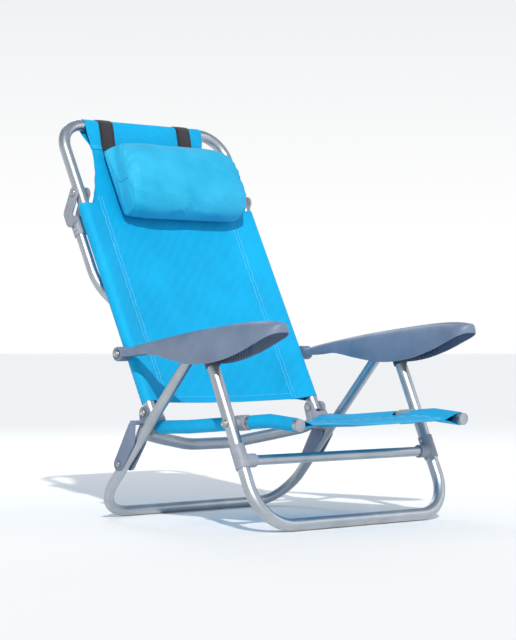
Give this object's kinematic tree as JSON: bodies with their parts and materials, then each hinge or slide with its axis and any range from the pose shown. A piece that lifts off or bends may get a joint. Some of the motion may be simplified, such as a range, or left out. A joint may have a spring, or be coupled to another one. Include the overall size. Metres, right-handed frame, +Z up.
{
  "type": "folding beach chair",
  "caption": "Low folding beach chair: U-shaped tube legs, sling seat and reclining sling back, racked moulded armrests, rear stand and a strap-on neck pillow.",
  "frame": {"origin": "on the ground, midway between the front and rear floor bars and midway across the chair", "axes": "+Z up, -Y towards the front of the seat, +X to the sitter's left"},
  "size_m": [0.6, 0.7751, 0.8509],
  "materials": {
    "aluminium_tube": "satin anodised tube",
    "steel_fastener": "zinc-plated screws and rivets",
    "grey_plastic": "moulded polypropylene, light grey",
    "slate_plastic": "moulded polypropylene, slate grey",
    "dark_plastic": "moulded nylon, dark grey",
    "blue_sling": "woven coated mesh, bright blue",
    "blue_pillow": "woven polyester, bright blue",
    "black_webbing": "woven nylon webbing, black"
  },
  "bodies": {
    "seat": {"seat_frame_tube": "aluminium_tube", "seat_end_plugs": "grey_plastic", "left_seat_hinge": "grey_plastic", "right_seat_hinge": "grey_plastic", "seat_hinge_rivets": "steel_fastener", "seat_pivot_collars": "grey_plastic", "seat_pivot_bolts": "steel_fastener", "seat_sling": "blue_sling"},
    "front_legs": {"front_leg_tube": "aluminium_tube", "front_leg_knuckles": "dark_plastic", "rear_leg_pivot_pins": "steel_fastener", "front_crossbar": "aluminium_tube", "crossbar_sockets": "grey_plastic", "crossbar_screws": "steel_fastener"},
    "rear_legs": {"rear_leg_tube": "aluminium_tube", "rear_leg_plugs": "dark_plastic"},
    "links": {"left_link": "slate_plastic", "right_link": "slate_plastic", "link_screws": "steel_fastener"},
    "back_pins": {"back_pivot_pins": "steel_fastener"},
    "back": {"back_frame_tube": "aluminium_tube", "back_end_plugs": "grey_plastic", "back_sling": "blue_sling", "left_strap": "black_webbing", "right_strap": "black_webbing"},
    "arm_bolts": {"armrest_bolts": "steel_fastener"},
    "armrests": {"left_armrest": "slate_plastic", "right_armrest": "slate_plastic"},
    "rear_stand": {"stand_tube": "aluminium_tube", "left_stand_hinge": "grey_plastic", "right_stand_hinge": "grey_plastic", "stand_pivot_screws": "steel_fastener", "stand_socket_rivets": "steel_fastener"},
    "neck_pillow": {"pillow": "blue_pillow"}
  },
  "joints": [
    {"name": "leg_fold", "type": "hinge", "parent": "seat", "child": "front_legs", "pos_m": [0, -0.1617, 0.20889], "axis": [1, 0, 0], "range_deg": [0, 80]},
    {"name": "rear_leg_pivot", "type": "hinge", "parent": "front_legs", "child": "rear_legs", "pos_m": [0, -0.06548, 0.357], "axis": [1, 0, 0], "range_deg": [-58.26, 0]},
    {"name": "link_pivot", "type": "hinge", "parent": "seat", "child": "links", "pos_m": [0, 0.1125, 0.222], "axis": [1, 0, 0], "range_deg": [-94.86, 0]},
    {"name": "back_fold", "type": "hinge", "parent": "seat", "child": "back_pins", "pos_m": [0, 0.1125, 0.222], "axis": [1, 0, 0], "range_deg": [0, 86.05]},
    {"name": "back_recline", "type": "hinge", "parent": "back_pins", "child": "back", "pos_m": [0, 0.1125, 0.222], "axis": [1, 0, 0], "range_deg": [-62, 0]},
    {"name": "armrest_fold", "type": "hinge", "parent": "back", "child": "arm_bolts", "pos_m": [0, 0.17308, 0.34141], "axis": [1, 0, 0], "range_deg": [-89.05, 0]},
    {"name": "armrest_tilt", "type": "hinge", "parent": "arm_bolts", "child": "armrests", "pos_m": [0, 0.17308, 0.34141], "axis": [1, 0, 0], "range_deg": [0, 45.42]},
    {"name": "stand_swing", "type": "hinge", "parent": "back", "child": "rear_stand", "pos_m": [0, 0.34577, 0.68181], "axis": [-1, 0, 0], "range_deg": [-116.1, 0]},
    {"name": "pillow_slide", "type": "slide", "parent": "back", "child": "neck_pillow", "axis": [0, 0.4524, 0.8918], "range_m": [-0.05, 0]}
  ],
  "couplings": [
    {"joint": "rear_leg_pivot", "follows": "leg_fold", "ratio": -0.72756},
    {"joint": "link_pivot", "follows": "leg_fold", "ratio": -1.1851},
    {"joint": "back_fold", "follows": "leg_fold", "ratio": 1.075},
    {"joint": "armrest_fold", "follows": "leg_fold", "ratio": -1.1125},
    {"joint": "armrest_tilt", "follows": "back_recline", "ratio": -0.7318}
  ]
}
